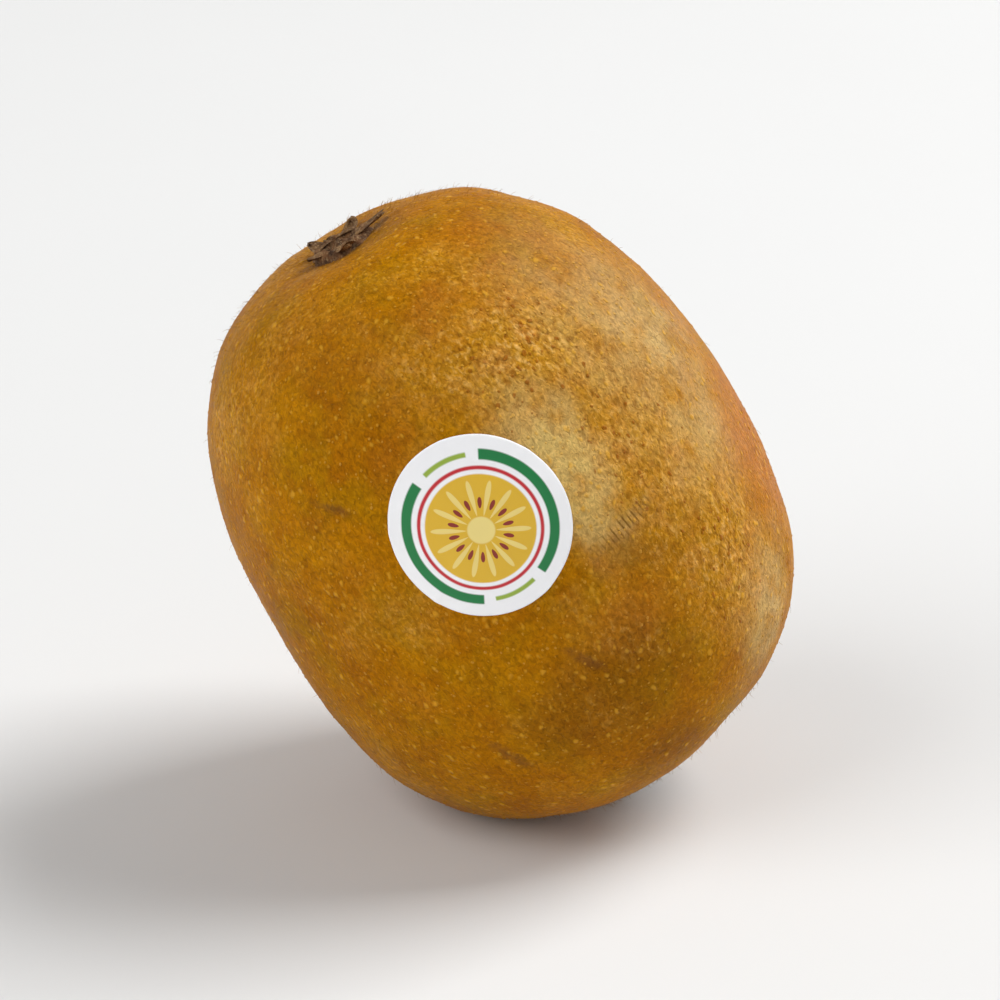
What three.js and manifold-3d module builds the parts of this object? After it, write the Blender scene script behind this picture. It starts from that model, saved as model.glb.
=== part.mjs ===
// A whole golden kiwi fruit. It stands on its broad blossom end, leaning, on a small flat spot.
// Lengths are millimetres, angles are degrees and +Z is up. Each shape is worked out in the
// fruit's own frame, where the stalk end is on +Z, the blossom end on -Z and the broadest
// cross-section lies along X. A group then leans the fruit towards -X and stands it on z = 0.
import * as THREE from "three";
import { mergeVertices } from "three/addons/utils/BufferGeometryUtils.js";
import Module from "manifold-3d";

const wasm = await Module();
wasm.setup();

const { clamp, degToRad, lerp, seededRandom, smoothstep } = THREE.MathUtils;

// The fruit's body
const LENGTH = 66.5; // stalk end to blossom end, before the hollows at its ends
const WIDTH = 54; // broadest cross-section
const THICKNESS = 51.3; // the same cross-section's short way
const TAPER = 0.037; // how much slimmer the stalk end is than the middle
const BOW = 0.55; // how far both ends bend towards -X
const FULLNESS_AT_STALK = 2.42; // 2 would be an ellipse, more is squarer
const FULLNESS_AT_BLOSSOM = 2.7;

// Low swells and flats of the skin. down is the angle from the stalk end and around the angle
// from +X towards +Y. spread is how wide the swell is, in degrees.
const SWELLS = [
  { down: 98, around: 8, spread: 13, height: 0.25 },
  { down: 132, around: -7, spread: 13, height: 0.35 },
  { down: 154, around: -36, spread: 13, height: -0.4 },
  { down: 160, around: -93, spread: 13, height: 0.5 },
  { down: 128, around: -153, spread: 15, height: 0.5 },
  { down: 92, around: -52, spread: 12, height: 0.3 },
  { down: 66, around: 104, spread: 20, height: 0.45 },
  { down: 88, around: 176, spread: 22, height: 0.5 },
  { down: 112, around: 128, spread: 16, height: -0.3 },
  { down: 140, around: 66, spread: 18, height: 0.4 },
  { down: 42, around: -150, spread: 15, height: 0.35 },
];

// The hollow that the stalk grew in
const HOLLOW_DEPTH = 1.7;
const HOLLOW_RADIUS = 6.5;

// The basin round the dried flower, with its small radial folds
const BASIN_DEPTH = 1.3;
const BASIN_RADIUS = 4.6;
const FOLDS = 9;
const FOLD_HEIGHT = 0.14;
const FOLDS_FROM = 1; // distances from the axis
const FOLDS_TO = 9;

// The stalk's scar: a woody core, a groove and a corky collar, with the stubs of the sepals
const CORE_RADIUS = 1.5;
const CORE_HEIGHT = 1.3;
const GROOVE_HEIGHT = 0.4;
const COLLAR_RADIUS = 2.8;
const COLLAR_HEIGHT = 1;
const SCAR_RADIUS = 3.7;
const SEPALS = 5;
const SEPAL_REACH = 1.5; // the longest, past the scar's radius
const SEPAL_UNEVENNESS = 0.5; // how much shorter the shortest is, as a share of the longest
const SEPAL_SHARPNESS = 1.7; // 1 is a round lobe, more is slimmer
const SEPAL_HEIGHT = 0.7;

// The dried styles: threads that grow from a corky disc, arch over and thin out
const DISC_RADIUS = 2.4;
const DISC_HEIGHT = 0.95;
const DISC_EDGE_HEIGHT = 0.6;
const STYLES = 26;
const STYLE_ROOTS = [0.85, 1.7]; // distances from the middle of the disc, taken in turn
const STYLE_LENGTHS = [2.5, 3.7]; // shortest and longest
const STYLE_THICKNESS = 0.62;
const STYLE_THINNING = 0.45; // share of the thickness lost at the tip
const STYLE_ROOT_HEIGHT = 0.45; // over the disc's foot, so sunk in the disc
const STYLE_TIP_HEIGHT = 0.55;
const STYLE_ARCH = 0.75;
const STYLE_TWIST = 14; // how far round the tip is from the root
const STYLE_STEPS = 4;
const STYLE_SEED = 7;

// The sticker
const LABEL_DIAMETER = 18.2;
const LABEL_THICKNESS = 0.35;
const LABEL_DOWN = 76;
const LABEL_AROUND = -85.8;

// How the fruit stands
const LEAN = 29; // the stalk end goes towards -X
const CENTRE = new THREE.Vector3(-0.63, 0.24, 33.78); // the fruit's own middle, above the flat spot
const CLEARANCE = 0.25; // between the skin and what sits on it

// How finely the surfaces are cut into facets: sectors round, rings from the middle outwards
const FRUIT_FACETS = { sectors: 72, rings: 52 };
const SCAR_FACETS = { sectors: 50, rings: 9 };
const DISC_FACETS = { sectors: 28, rings: 4 };
const LABEL_FACETS = { sectors: 48, rings: 6 };
const RING_CROWDING = 0.55; // 0 spaces the fruit's rings evenly, more crowds them at its ends
const MERGE_DISTANCE = 1e-4;

// A unit vector that points down degrees from the stalk end, around degrees from +X.
function towards(down, around) {
  const fromAxis = Math.sin(degToRad(down));
  const turn = degToRad(around);
  return new THREE.Vector3(
    fromAxis * Math.cos(turn),
    fromAxis * Math.sin(turn),
    Math.cos(degToRad(down)),
  );
}

const STALK_END = towards(0, 0);
const BLOSSOM_END = towards(180, 0);
const swells = SWELLS.map((swell) => ({
  ...swell,
  direction: towards(swell.down, swell.around),
}));

const bell = (distance, radius) => Math.exp(-((distance / radius) ** 2));

// Distance from the fruit's middle to its plain skin: a super-ellipse, rounder at the stalk end
// and squarer at the blossom end, raised or lowered by the swells.
function reach(direction) {
  const fromAxis = Math.hypot(direction.x, direction.y);
  const share = (1 - direction.z) / 2;
  const fullness = lerp(FULLNESS_AT_STALK, FULLNESS_AT_BLOSSOM, share);
  const lengthways = Math.abs(direction.z / (LENGTH / 2)) ** fullness;
  const crossways = (fromAxis / (WIDTH / 2)) ** fullness;
  let distance = (lengthways + crossways) ** (-1 / fullness);
  for (const { direction: top, spread, height } of swells)
    distance += height * bell(direction.angleTo(top), degToRad(spread) * Math.SQRT2);
  return distance;
}

// The skin's point in a direction from the fruit's middle: tapered towards the stalk end, made
// oval, bent, and sunk into the hollow at one end and the folded basin at the other.
function skin(direction) {
  const point = direction.clone().multiplyScalar(reach(direction));
  const height = point.z / (LENGTH / 2);
  point.x *= 1 - TAPER * height;
  point.y *= (1 - TAPER * height) * (THICKNESS / WIDTH);
  const fromAxis = Math.hypot(point.x, point.y);
  if (point.z > 0) {
    point.z -= HOLLOW_DEPTH * bell(fromAxis, HOLLOW_RADIUS);
  } else {
    const fold = Math.cos(FOLDS * Math.atan2(point.y, point.x));
    const foldZone = smoothstep(fromAxis, FOLDS_FROM, FOLDS_TO) * bell(fromAxis, FOLDS_TO);
    point.z += BASIN_DEPTH * bell(fromAxis, BASIN_RADIUS) + FOLD_HEIGHT * fold * foldZone;
  }
  point.x -= BOW * height ** 2;
  return point;
}

// Places on the skin round a spot, told by the distance from it, a turn in radians and a
// height over the skin.
class Spot {
  constructor(direction) {
    this.direction = direction;
    this.distance = reach(direction);
    this.side = new THREE.Vector3(1, 0, 0).projectOnPlane(direction).normalize();
    this.across = direction.clone().cross(this.side);
  }

  directionAt(distance, turn) {
    const angle = distance / this.distance;
    return this.side
      .clone()
      .multiplyScalar(Math.cos(turn))
      .addScaledVector(this.across, Math.sin(turn))
      .multiplyScalar(Math.sin(angle))
      .addScaledVector(this.direction, Math.cos(angle));
  }

  at(distance, turn, height) {
    const direction = this.directionAt(distance, turn);
    return skin(direction).addScaledVector(direction, height);
  }
}

// A three.js geometry from corner points and triangles of their numbers.
function geometryOf(points, triangles) {
  const geometry = new THREE.BufferGeometry().setFromPoints(points);
  geometry.setIndex(triangles);
  return geometry;
}

// A three.js geometry with its shared corners merged, as a manifold-3d solid.
function solidOf(geometry) {
  const bare = geometry.clone();
  bare.deleteAttribute("normal");
  bare.deleteAttribute("uv");
  const merged = mergeVertices(bare, MERGE_DISTANCE);
  return new wasm.Manifold(
    new wasm.Mesh({
      numProp: 3,
      vertProperties: merged.attributes.position.array,
      triVerts: new Uint32Array(merged.index.array),
    }),
  );
}

// A manifold-3d solid as a three.js geometry with flat facets.
function facetsOf(solid) {
  const { vertProperties, triVerts } = solid.getMesh();
  const shared = new THREE.BufferGeometry();
  shared.setAttribute("position", new THREE.BufferAttribute(vertProperties, 3));
  shared.setIndex(new THREE.BufferAttribute(triVerts, 1));
  const geometry = shared.toNonIndexed();
  geometry.computeVertexNormals();
  return geometry;
}

// A thin solid that lies on the skin round a spot. edge(turn) is its outline's radius, and
// top(distance, turn) its thickness at a distance from the middle.
function patch(spot, { sectors, rings }, edge, top) {
  const points = [spot.at(0, 0, CLEARANCE), spot.at(0, 0, CLEARANCE + top(0, 0))];
  for (let ring = 1; ring <= rings; ring++)
    for (let sector = 0; sector < sectors; sector++) {
      const turn = (2 * Math.PI * sector) / sectors;
      const distance = (ring / rings) * edge(turn);
      points.push(spot.at(distance, turn, CLEARANCE));
      points.push(spot.at(distance, turn, CLEARANCE + top(distance, turn)));
    }
  const under = (ring, sector) => 2 + 2 * ((ring - 1) * sectors + (sector % sectors));
  const over = (ring, sector) => under(ring, sector) + 1;
  const triangles = [];
  const addQuad = (a, b, c, d) => triangles.push(a, b, c, a, c, d);
  for (let sector = 0; sector < sectors; sector++) {
    const next = sector + 1;
    triangles.push(0, under(1, next), under(1, sector));
    triangles.push(1, over(1, sector), over(1, next));
    for (let ring = 1; ring < rings; ring++) {
      const out = ring + 1;
      addQuad(over(ring, sector), over(out, sector), over(out, next), over(ring, next));
      addQuad(under(ring, next), under(out, next), under(out, sector), under(ring, sector));
    }
    addQuad(under(rings, sector), under(rings, next), over(rings, next), over(rings, sector));
  }
  return geometryOf(points, triangles);
}

// The fruit: a sphere's grid, crowded towards the ends, carried out to the skin, less what
// would stand below the floor.
function fruitGeometry(standing) {
  const geometry = new THREE.SphereGeometry(1, FRUIT_FACETS.sectors, FRUIT_FACETS.rings);
  geometry.rotateX(Math.PI / 2);
  const position = geometry.attributes.position;
  const corner = new THREE.Vector3();
  for (let i = 0; i < position.count; i++) {
    corner.fromBufferAttribute(position, i).normalize();
    const even = Math.acos(clamp(corner.z, -1, 1));
    const crowded = even - (RING_CROWDING * Math.sin(2 * even)) / 2;
    const fromAxis = Math.hypot(corner.x, corner.y) || 1;
    const direction = new THREE.Vector3(
      (corner.x / fromAxis) * Math.sin(crowded),
      (corner.y / fromAxis) * Math.sin(crowded),
      Math.cos(crowded),
    );
    position.setXYZ(i, ...skin(direction));
  }
  const block = new THREE.BoxGeometry(LENGTH * 2, LENGTH * 2, LENGTH);
  block.translate(0, 0, -LENGTH / 2);
  block.applyMatrix4(standing.clone().invert());
  return facetsOf(solidOf(geometry).subtract(solidOf(block)));
}

// The stalk's scar, with the sepals' stubs as lobes of its outline.
function scarGeometry() {
  const stub = (turn) => (0.5 + 0.5 * Math.cos(SEPALS * turn)) ** SEPAL_SHARPNESS;
  const stubReach = (turn) => SEPAL_REACH * (1 - SEPAL_UNEVENNESS * Math.sin(turn / 2) ** 2);
  const edge = (turn) => SCAR_RADIUS + stubReach(turn) * stub(turn);
  const top = (distance) => {
    const core = CORE_HEIGHT * bell(distance, CORE_RADIUS);
    const collar = COLLAR_HEIGHT * smoothstep(distance, CORE_RADIUS, COLLAR_RADIUS);
    const edgeShare = smoothstep(distance, COLLAR_RADIUS, SCAR_RADIUS);
    return Math.max(core, GROOVE_HEIGHT, lerp(collar, SEPAL_HEIGHT, edgeShare));
  };
  return facetsOf(solidOf(patch(new Spot(STALK_END), SCAR_FACETS, edge, top)));
}

// One dried style: a slim four-sided thread over the skin.
function style(spot, turn, root, length) {
  const points = [];
  for (let step = 0; step <= STYLE_STEPS; step++) {
    const share = step / STYLE_STEPS;
    const distance = root + length * share;
    const twisted = turn + degToRad(STYLE_TWIST) * share;
    const arch = STYLE_ARCH * Math.sin(Math.PI * share);
    const height = CLEARANCE + lerp(STYLE_ROOT_HEIGHT, STYLE_TIP_HEIGHT, share) + arch;
    const middle = spot.at(distance, twisted, height);
    const up = spot.at(distance, twisted, height + 1).sub(middle).normalize();
    const ahead = spot.at(distance + 1, twisted, height).sub(middle);
    const aside = up.clone().cross(ahead).normalize();
    const half = (STYLE_THICKNESS / 2) * (1 - STYLE_THINNING * share);
    const left = middle.clone().addScaledVector(aside, half);
    const right = middle.clone().addScaledVector(aside, -half);
    points.push(left.clone().addScaledVector(up, half));
    points.push(right.clone().addScaledVector(up, half));
    points.push(right.addScaledVector(up, -half));
    points.push(left.addScaledVector(up, -half));
  }
  const last = 4 * STYLE_STEPS;
  const triangles = [0, 2, 1, 0, 3, 2, last, last + 1, last + 2, last, last + 2, last + 3];
  for (let step = 0; step < STYLE_STEPS; step++)
    for (let side = 0; side < 4; side++) {
      const a = 4 * step + side;
      const b = 4 * step + ((side + 1) % 4);
      triangles.push(a, b, b + 4, a, b + 4, a + 4);
    }
  return geometryOf(points, triangles);
}

// The dried styles: their disc and all the threads, joined into one body.
function stylesGeometry() {
  const spot = new Spot(BLOSSOM_END);
  const top = (distance) => lerp(DISC_HEIGHT, DISC_EDGE_HEIGHT, (distance / DISC_RADIUS) ** 4);
  let joined = solidOf(patch(spot, DISC_FACETS, () => DISC_RADIUS, top));
  seededRandom(STYLE_SEED);
  for (let i = 0; i < STYLES; i++) {
    const turn = ((i + 0.5 * seededRandom()) / STYLES) * 2 * Math.PI;
    const root = STYLE_ROOTS[i % STYLE_ROOTS.length];
    const length = lerp(...STYLE_LENGTHS, seededRandom());
    joined = joined.add(solidOf(style(spot, turn, root, length)));
  }
  return facetsOf(joined);
}

// The sticker: a thin round disc that follows the skin.
function labelGeometry() {
  const spot = new Spot(towards(LABEL_DOWN, LABEL_AROUND));
  const edge = () => LABEL_DIAMETER / 2;
  const top = () => LABEL_THICKNESS;
  return facetsOf(solidOf(patch(spot, LABEL_FACETS, edge, top)));
}

// A named mesh with its own material.
function piece(name, geometry, color, roughness) {
  const material = new THREE.MeshStandardMaterial({ color, roughness, metalness: 0 });
  const mesh = new THREE.Mesh(geometry, material);
  mesh.name = name;
  return mesh;
}

const kiwi = new THREE.Group();
const leaning = new THREE.Group();
leaning.rotation.y = -degToRad(LEAN);
leaning.position.copy(CENTRE);
leaning.updateMatrix();
leaning.add(piece("fruit", fruitGeometry(leaning.matrix), 0x9a6b1b, 0.45));
leaning.add(piece("stalk_scar", scarGeometry(), 0x6b4e30, 0.85));
leaning.add(piece("style_remnant", stylesGeometry(), 0x3a2a1c, 0.9));
leaning.add(piece("label", labelGeometry(), 0xeceae4, 0.35));
kiwi.add(leaning);

export default kiwi;
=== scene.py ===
# %% [markdown]
# # A golden kiwi fruit, standing on its blossom end
#
# A golden kiwi is a berry with a thin, leathery, golden-brown skin, freckled with corky pores.
# At one end is the scar of its stalk, at the other the dried styles of its flower, and a small
# round sticker sits on its side. Every shape below is a formula that numpy works out as whole
# arrays, and every finish is made of shader nodes, so nothing comes from an image.
#
# The imported model comes first. It says where each piece stands.

# %% Load the frame
import math

import bpy
import numpy as np
from mathutils import Matrix, Vector


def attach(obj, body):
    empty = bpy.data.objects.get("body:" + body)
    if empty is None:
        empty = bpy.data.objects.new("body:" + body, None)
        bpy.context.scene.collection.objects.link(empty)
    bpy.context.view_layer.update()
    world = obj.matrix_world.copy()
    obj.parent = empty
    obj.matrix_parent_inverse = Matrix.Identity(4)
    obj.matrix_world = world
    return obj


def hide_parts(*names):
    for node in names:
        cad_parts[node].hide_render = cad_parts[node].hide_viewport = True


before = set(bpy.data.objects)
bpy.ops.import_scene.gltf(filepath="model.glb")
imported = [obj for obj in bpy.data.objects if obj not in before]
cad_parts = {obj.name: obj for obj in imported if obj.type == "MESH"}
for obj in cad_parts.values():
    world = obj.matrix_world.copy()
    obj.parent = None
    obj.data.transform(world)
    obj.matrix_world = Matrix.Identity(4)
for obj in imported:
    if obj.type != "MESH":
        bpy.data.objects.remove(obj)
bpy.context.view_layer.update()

# %% [markdown]
# ## The fruit's own frame
#
# It is simplest to describe a fruit along its own axis, stalk end up, and to lean and stand the
# result afterwards. Shapes are in millimetres there, because a pore or a hair is easier to
# think about in millimetres. `stand` turns such points by the lean, moves them to the fruit's
# middle above its resting spot and gives metres.

# %% Standing the fruit
MM = 0.001
LEAN = math.radians(29)
CENTRE = np.array([-0.63, 0.24, 33.78])


def towards(down, around):
    """The unit vector down degrees from the stalk end and around degrees from +X towards +Y."""
    down, around = np.radians(down), np.radians(around)
    parts = np.sin(down) * np.cos(around), np.sin(down) * np.sin(around), np.cos(down)
    return np.stack(np.broadcast_arrays(*parts), axis=-1)


def stand(points):
    """Points of the fruit's own frame, leaned about Y and moved to its place, in metres."""
    lean = np.array(Matrix.Rotation(-LEAN, 3, "Y"))
    return (points @ lean.T + CENTRE) * MM


def unit(vectors):
    """The same vectors with length 1."""
    return vectors / np.linalg.norm(vectors, axis=-1, keepdims=True)


STALK_END = towards(0, 0)
BLOSSOM_END = towards(180, 0)
print("the stalk end points to", np.round(stand(STALK_END * 1000) - stand(STALK_END * 0), 3))

# %% [markdown]
# ## The skin as a formula
#
# A kiwi is nearly an ellipsoid, but squarer: a super-ellipse whose power rises from the stalk
# end to the blunt blossom end gives that. Low swells keep it from looking turned on a lathe.
# The stalk grew in a shallow hollow, and the flower sat in a small basin whose skin is
# gathered in fine folds. These are the numbers of the solid part, so the fine skin fits it.

# %% The shape of the skin
LENGTH, WIDTH, THICKNESS = 66.5, 54, 51.3
TAPER, BOW = 0.037, 0.55
FULLNESS_AT_STALK, FULLNESS_AT_BLOSSOM = 2.42, 2.7
SWELLS = [  # down, around, spread in degrees, height in mm
    (98, 8, 13, 0.25),
    (132, -7, 13, 0.35),
    (154, -36, 13, -0.4),
    (160, -93, 13, 0.5),
    (128, -153, 15, 0.5),
    (92, -52, 12, 0.3),
    (66, 104, 20, 0.45),
    (88, 176, 22, 0.5),
    (112, 128, 16, -0.3),
    (140, 66, 18, 0.4),
    (42, -150, 15, 0.35),
]
HOLLOW_DEPTH, HOLLOW_RADIUS = 1.7, 6.5
BASIN_DEPTH, BASIN_RADIUS = 1.3, 4.6
FOLDS, FOLD_HEIGHT, FOLDS_FROM, FOLDS_TO = 9, 0.14, 1, 9


def bell(distance, radius):
    """1 at distance 0, falling smoothly to 1/e at the radius."""
    return np.exp(-((distance / radius) ** 2))


def smoothstep(x, start, end):
    """0 up to start, 1 from end on, and a smooth rise between."""
    share = np.clip((x - start) / (end - start), 0, 1)
    return share * share * (3 - 2 * share)


def reach(direction):
    """Distance from the middle to the plain skin: (|z/a|^n + |r/b|^n)^(-1/n), where the power
    n rises from the stalk end to the blossom end, plus a bell for each swell."""
    x, y, z = np.moveaxis(direction, -1, 0)
    share = (1 - z) / 2
    power = FULLNESS_AT_STALK * (1 - share) + FULLNESS_AT_BLOSSOM * share
    lengthways = np.abs(z / (LENGTH / 2)) ** power
    crossways = (np.hypot(x, y) / (WIDTH / 2)) ** power
    distance = (lengthways + crossways) ** (-1 / power)
    for down, around, spread, height in SWELLS:
        apart = np.arccos(np.clip(direction @ towards(down, around), -1, 1))
        distance = distance + height * bell(apart, math.radians(spread) * math.sqrt(2))
    return distance


def skin(direction):
    """The skin's points: direction times reach, tapered and made oval, less the hollow at the
    stalk end, plus the folded basin at the blossom end, with both ends bent towards -X."""
    x, y, z = np.moveaxis(direction * reach(direction)[..., None], -1, 0)
    height = z / (LENGTH / 2)
    x = x * (1 - TAPER * height)
    y = y * (1 - TAPER * height) * (THICKNESS / WIDTH)
    from_axis = np.hypot(x, y)
    hollow = HOLLOW_DEPTH * bell(from_axis, HOLLOW_RADIUS)
    fold_zone = smoothstep(from_axis, FOLDS_FROM, FOLDS_TO) * bell(from_axis, FOLDS_TO)
    folds = FOLD_HEIGHT * np.cos(FOLDS * np.arctan2(y, x)) * fold_zone
    basin = BASIN_DEPTH * bell(from_axis, BASIN_RADIUS) + folds
    z = z + np.where(z > 0, -hollow, basin)
    return np.stack([x - BOW * height**2, y, z], axis=-1)


ends = skin(np.array([STALK_END, BLOSSOM_END]))
print("stalk end at", ends[0].round(2), "and blossom end at", ends[1].round(2), "mm")

# %% [markdown]
# ## Unevenness without a table of numbers
#
# Living skin is never even. A sum of many plane waves of one wavelength, each with its own
# direction and phase from a seeded generator, gives smooth random bumps of a known size in
# millimetres. It has no seam and no poles, because it is worked out from points in space.

# %% Random ripples
WAVES = 28


def ripple(points, wavelength, seed):
    """Smooth random values of about -1 to 1 at points in space: the mean of WAVES sine waves
    of that wavelength in random directions, scaled so that their spread is about a half."""
    random = np.random.default_rng(seed)
    direction = unit(random.normal(size=(WAVES, 3)))
    phase = random.uniform(0, 2 * np.pi, WAVES)
    total = np.zeros(points.shape[:-1])
    for along, start in zip(direction, phase):
        total += np.sin(points @ along * (2 * np.pi / wavelength) + start)
    return total * 0.5 * math.sqrt(2 / WAVES)


scattered = np.random.default_rng(0).normal(size=(500, 3)) * 9
print("a ripple's spread is", ripple(scattered, 2, 1).std().round(2))

# %% [markdown]
# ## From a grid of points to a mesh
#
# Nearly every piece here is a closed grid: rows of points that run round it, a point over its
# first row and one under its last, like the circles of latitude and the poles of a globe. One
# function numbers its faces, one puts points and faces into a named object at the origin, and
# one gives a piece its material, hides the imported part that it stands for and hangs it on the
# body that carries it. It also prints the volume inside the piece, which is only positive when
# the faces point outwards.

# %% The faces of a closed grid
def closed_faces(rows, columns):
    """Corner numbers of a closed grid: quads between its rows, and triangles from its two end
    points, which are numbered after the grid."""
    row, column = np.meshgrid(np.arange(rows - 1), np.arange(columns), indexing="ij")
    after = (column + 1) % columns
    quads = np.stack([row * columns + column, (row + 1) * columns + column,
                      (row + 1) * columns + after, row * columns + after], axis=-1)
    ring = np.arange(columns)
    last = (rows - 1) * columns + ring
    first_cap = np.stack([np.full(columns, rows * columns), ring, np.roll(ring, -1)], axis=-1)
    last_cap = np.stack([np.full(columns, rows * columns + 1), np.roll(last, -1), last], axis=-1)
    return quads.reshape(-1, 4), np.concatenate([first_cap, last_cap])


counts = [len(faces) for faces in closed_faces(2, 6)]
print("two rows of six points have", counts[0], "quads and", counts[1], "triangles")

# %% Mesh helpers
def mesh_object(name, points, quads=(), triangles=()):
    """A smooth-shaded mesh object at the origin from points in metres and faces by number."""
    quads = np.asarray(quads, dtype=np.int32).reshape(-1, 4)
    triangles = np.asarray(triangles, dtype=np.int32).reshape(-1, 3)
    corners = np.concatenate([quads.ravel(), triangles.ravel()])
    sizes = np.concatenate([np.full(len(quads), 4), np.full(len(triangles), 3)])
    starts = np.concatenate([[0], np.cumsum(sizes)[:-1]]).astype(np.int32)
    mesh = bpy.data.meshes.new(name)
    mesh.vertices.add(len(points))
    mesh.vertices.foreach_set("co", np.asarray(points, dtype=np.float32).ravel())
    mesh.loops.add(len(corners))
    mesh.loops.foreach_set("vertex_index", corners)
    mesh.polygons.add(len(sizes))
    mesh.polygons.foreach_set("loop_start", starts)
    mesh.polygons.foreach_set("loop_total", sizes.astype(np.int32))
    mesh.update(calc_edges=True)
    mesh.validate()
    mesh.shade_smooth()
    made = bpy.data.objects.new(name, mesh)
    bpy.context.scene.collection.objects.link(made)
    return made


def closed_grid(name, grid, first, last):
    """The mesh object of one closed grid: an array of (rows, columns, 3) points in metres and
    the points of its two ends."""
    points = np.concatenate([grid.reshape(-1, 3), [first, last]])
    return mesh_object(name, points, *closed_faces(*grid.shape[:2]))


def closed_grids(name, grids, first, last):
    """One mesh object of many closed grids of the same size: an array of (grids, rows, columns,
    3) points in metres, and arrays of the points of their two ends."""
    count, rows, columns = grids.shape[:3]
    each = np.concatenate([grids.reshape(count, -1, 3), first[:, None], last[:, None]], axis=1)
    start = np.arange(count)[:, None, None] * (rows * columns + 2)
    quads, triangles = closed_faces(rows, columns)
    return mesh_object(name, each.reshape(-1, 3), (quads + start).reshape(-1, 4),
                       (triangles + start).reshape(-1, 3))


def finish_piece(piece, material, node=None):
    """Gives a piece its material, hides the imported part that it stands for, hangs it on the root
    body and prints its size and volume.
    """
    piece.data.materials.append(material)
    if node:
        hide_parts(node)
    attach(piece, "root")
    mesh = piece.data
    mesh.calc_loop_triangles()
    places = np.empty(len(mesh.vertices) * 3, dtype=np.float32)
    mesh.vertices.foreach_get("co", places)
    corners = np.empty(len(mesh.loop_triangles) * 3, dtype=np.int32)
    mesh.loop_triangles.foreach_get("vertices", corners)
    places = places.reshape(-1, 3) / MM
    a, b, c = np.moveaxis(places[corners].reshape(-1, 3, 3).astype(float), 1, 0)
    volume = (a * np.cross(b, c)).sum() / 6
    span = (places.max(axis=0) - places.min(axis=0)).round(1)
    print(f"{piece.name}: {len(a)} triangles, {span} mm, {volume:.2f} mm3 inside")


# %% [markdown]
# ## Shader nodes in plain code
#
# Finishes are built from Blender's shader nodes. One function adds a node, sets its options
# and either fills or links each socket, so a finish reads from top to bottom like a recipe.
# Colours are written as sRGB hex values, and turned linear here.

# %% Shader helpers
def linear(hex_colour):
    """An sRGB hex colour such as #9c6a10 as linear red, green, blue and alpha."""
    parts = [int(hex_colour[i:i + 2], 16) / 255 for i in (1, 3, 5)]
    return (*[c / 12.92 if c <= 0.04045 else ((c + 0.055) / 1.055) ** 2.4 for c in parts], 1)


def add(tree, kind, output, sockets=None, **options):
    """Adds one node with its options, gives its sockets a value or a link, and returns the
    output. Sockets are told by name, or by number where a node has several of one name."""
    def find(those, name):
        return those[name] if isinstance(name, int) else next(
            socket for socket in those if socket.name == name and socket.enabled)

    node = tree.nodes.new("ShaderNode" + kind)
    for option, value in options.items():
        setattr(node, option, value)
    for name, value in (sockets or {}).items():
        socket = find(node.inputs, name)
        if isinstance(value, bpy.types.NodeSocket):
            tree.links.new(value, socket)
        else:
            socket.default_value = value
    return None if output is None else find(node.outputs, output)


def new_material(name):
    """A material with an empty node tree, and that tree."""
    material = bpy.data.materials.new(name)
    material.use_nodes = True
    material.node_tree.nodes.clear()
    return material, material.node_tree


print("golden brown in linear light is", [round(c, 3) for c in linear("#9c6a10")])

# %% [markdown]
# ## The skin
#
# The skin is the formula above on a fine grid: rings from the stalk end down, crowded towards
# both ends where the hollow and the folds are. Ripples of three sizes add the unevenness that
# breaks up a highlight. A subdivided sphere would have no poles, but rings follow the folds
# better, and the poles are hidden under the scar and the dried styles. Where the fruit stands,
# its skin gives a little, so nothing is let through the floor.

# %% Make the skin
SKIN_RINGS, SKIN_COLUMNS = 236, 404
RING_CROWDING = 0.55
RELIEF = [(9, 0.1), (3.6, 0.035), (1.7, 0.016)]  # wavelength and height in mm
DENTS = [  # down, around, radius and height in mm
    (97, -58, 4.5, -0.38),
    (86, -62, 5, 0.3),
    (103, -38, 6, 0.22),
    (70, -52, 6, -0.2),
    (124, -82, 8, -0.3),
    (112, -112, 7, 0.22),
    (60, 24, 8, -0.28),
    (108, 96, 9, -0.3),
    (76, 160, 9, -0.26),
    (132, -168, 8, -0.28),
    (52, -150, 7, -0.22),
]
SEAT_SOFTNESS = 0.15  # mm


def fine_skin(direction):
    """The skin with its dents and ripples, which every small piece is fastened to."""
    own = skin(direction)
    lift = sum(height * ripple(own, wavelength, seed)
               for seed, (wavelength, height) in enumerate(RELIEF))
    for down, around, radius, height in DENTS:
        apart = np.linalg.norm(own - skin(towards(down, around)), axis=-1)
        lift = lift + height * bell(apart, radius)
    return own + direction * lift[..., None]


def settle(points):
    """Points in metres, with what would be under the floor pressed flat on it: the height z
    becomes (z + sqrt(z^2 + s^2)) / 2, which is nearly z above the floor and nearly 0 below."""
    height = points[..., 2:]
    pressed = (height + np.sqrt(height**2 + (SEAT_SOFTNESS * MM) ** 2)) / 2
    return np.concatenate([points[..., :2], pressed], axis=-1)


def make_skin():
    """Rings of directions, carried out to the skin, with a point at each end."""
    even = np.linspace(0, np.pi, SKIN_RINGS + 2)[1:-1, None]
    down = np.degrees(even - RING_CROWDING * np.sin(2 * even) / 2)
    around = np.linspace(0, 360, SKIN_COLUMNS, endpoint=False)
    grid = settle(stand(fine_skin(towards(down, around))))
    return closed_grid("kiwi_skin", grid, *stand(fine_skin(np.array([STALK_END, BLOSSOM_END]))))


kiwi_skin = make_skin()

# %% [markdown]
# ## The skin's finish
#
# Golden kiwi skin is a thin, leathery cuticle over corky cells, satin rather than glossy. A
# painted texture would need the fruit unwrapped and would show a seam, so the pattern is worked
# out from each point's place in space. A Mapping node takes the object's coordinates to the
# fruit's own frame, in millimetres, so streaks run along the fruit however it leans. Masks on
# that place, from 0 to 1, then say where each colour lies: clouds of noise, round places and
# long ones.

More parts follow.
